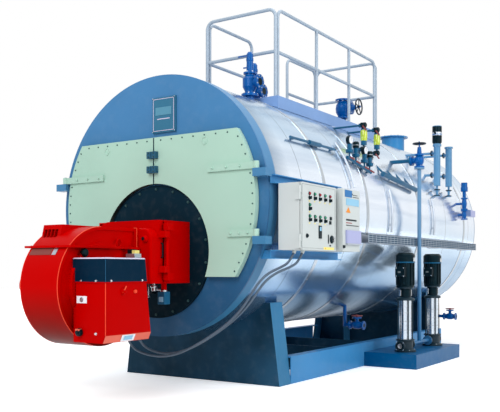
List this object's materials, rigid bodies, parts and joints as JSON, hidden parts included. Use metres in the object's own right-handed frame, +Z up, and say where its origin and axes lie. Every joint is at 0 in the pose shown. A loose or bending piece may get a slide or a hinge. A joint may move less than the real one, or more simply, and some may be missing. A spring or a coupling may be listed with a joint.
{
  "type": "industrial shell boiler",
  "caption": "Horizontal fire-tube steam boiler with swing-out burner, hinged smoke-box doors, feed pumps, control cabinet, valves and railed top deck.",
  "frame": {"origin": "on the floor under the boiler axis, at the middle of the front saddle's foot", "axes": "+Y along the boiler axis from the burner to the rear, +Z up, +X to the control cabinet side"},
  "size_m": [2.893, 7.5, 3.967],
  "materials": {
    "front_blue": "satin enamel",
    "door_green": "satin enamel",
    "furnace_black": "heat-resistant matt paint",
    "burner_red": "gloss powder coat",
    "cladding": "bright rolled sheet",
    "tube_steel": "mill steel, sooted",
    "base_teal": "satin enamel",
    "base_blue": "satin enamel",
    "cabinet_grey": "fine textured powder coat",
    "panel_zinc": "galvanised",
    "valve_blue": "gloss enamel on casting",
    "wheel_black": "black lacquer",
    "pump_steel": "brushed stainless",
    "pump_black": "gloss enamel",
    "railing_grey": "satin enamel",
    "deck_blue": "satin enamel",
    "instrument_teal": "satin enamel",
    "chamber_blue": "satin enamel",
    "cable_black": "matt sheath"
  },
  "bodies": {
    "root": {"front_saddle": "base_teal", "rear_saddle": "base_teal", "left_skid_beam": "base_blue", "right_skid_beam": "base_blue", "cross_members": "base_teal", "shell": "cladding", "cladding_straps": "cladding", "rear_plate": "front_blue", "rear_furnace_door": "front_blue", "front_casing": "front_blue", "front_plate": "front_blue", "furnace_mouth": "tube_steel", "tube_plate": "tube_steel", "furnace_plate": "furnace_black", "hinge_lugs": "front_blue", "name_board": "front_blue", "burner_mount": "burner_red", "flame_tube": "tube_steel", "burner_hinge_pin": "burner_red", "cabinet_rails": "base_blue", "control_cabinet": "cabinet_grey", "cabinet_hinges": "cabinet_grey", "mounting_plate": "panel_zinc", "aux_cabinet": "cabinet_grey", "deck_frame": "deck_blue", "deck_plate": "deck_blue", "right_railing": "railing_grey", "left_railing": "railing_grey", "front_railing": "railing_grey", "rear_railing": "railing_grey", "safety_valve_1": "valve_blue", "safety_valve_2": "valve_blue", "steam_valve": "valve_blue", "flue_stub": "base_blue", "pump_shelf": "base_teal", "pump_1_body": "pump_steel", "pump_2_body": "pump_steel", "pump_1_motor": "pump_black", "pump_2_motor": "pump_black", "feed_riser": "valve_blue", "feed_valve": "valve_blue", "feed_branch": "valve_blue", "shell_instruments": "instrument_teal", "level_chambers": "chamber_blue", "cable_trays": "panel_zinc", "drain_valves": "valve_blue", "burner_lead_1": "cable_black", "burner_lead_2": "cable_black"},
    "left_smoke_door": {"left_door": "door_green", "left_door_straps": "door_green"},
    "right_smoke_door": {"right_door": "door_green", "right_door_straps": "door_green"},
    "burner": {"burner_housing": "burner_red", "burner_scroll": "burner_red", "burner_air_box": "burner_red", "burner_motor": "pump_black", "burner_hinge_ears": "burner_red"},
    "cabinet_leaf": {"cabinet_door": "cabinet_grey"},
    "steam_handwheel": {"steam_wheel": "wheel_black"},
    "feed_handwheel": {"feed_wheel": "wheel_black"}
  },
  "joints": [
    {"name": "left_door_hinge", "type": "hinge", "parent": "root", "child": "left_smoke_door", "pos_m": [-1.17, -0.828, 1.7], "axis": [0, 0, -1], "range_deg": [0, 105]},
    {"name": "right_door_hinge", "type": "hinge", "parent": "root", "child": "right_smoke_door", "pos_m": [1.17, -0.828, 1.7], "axis": [0, 0, 1], "range_deg": [0, 105]},
    {"name": "burner_hinge", "type": "hinge", "parent": "root", "child": "burner", "pos_m": [0.43, -1.1325, 1.28], "axis": [0, 0, -1], "range_deg": [-90, 0]},
    {"name": "cabinet_door_hinge", "type": "hinge", "parent": "root", "child": "cabinet_leaf", "pos_m": [1.523, -0.689, 1.6], "axis": [0, 0, -1], "range_deg": [0, 105]},
    {"name": "steam_wheel_spindle", "type": "hinge", "parent": "root", "child": "steam_handwheel", "pos_m": [0.525, 2.62, 3.222], "axis": [1, 0, 0], "continuous": true},
    {"name": "feed_wheel_spindle", "type": "hinge", "parent": "root", "child": "feed_handwheel", "pos_m": [1.36, 2.565, 2.664], "axis": [0, 0, 1], "continuous": true}
  ]
}
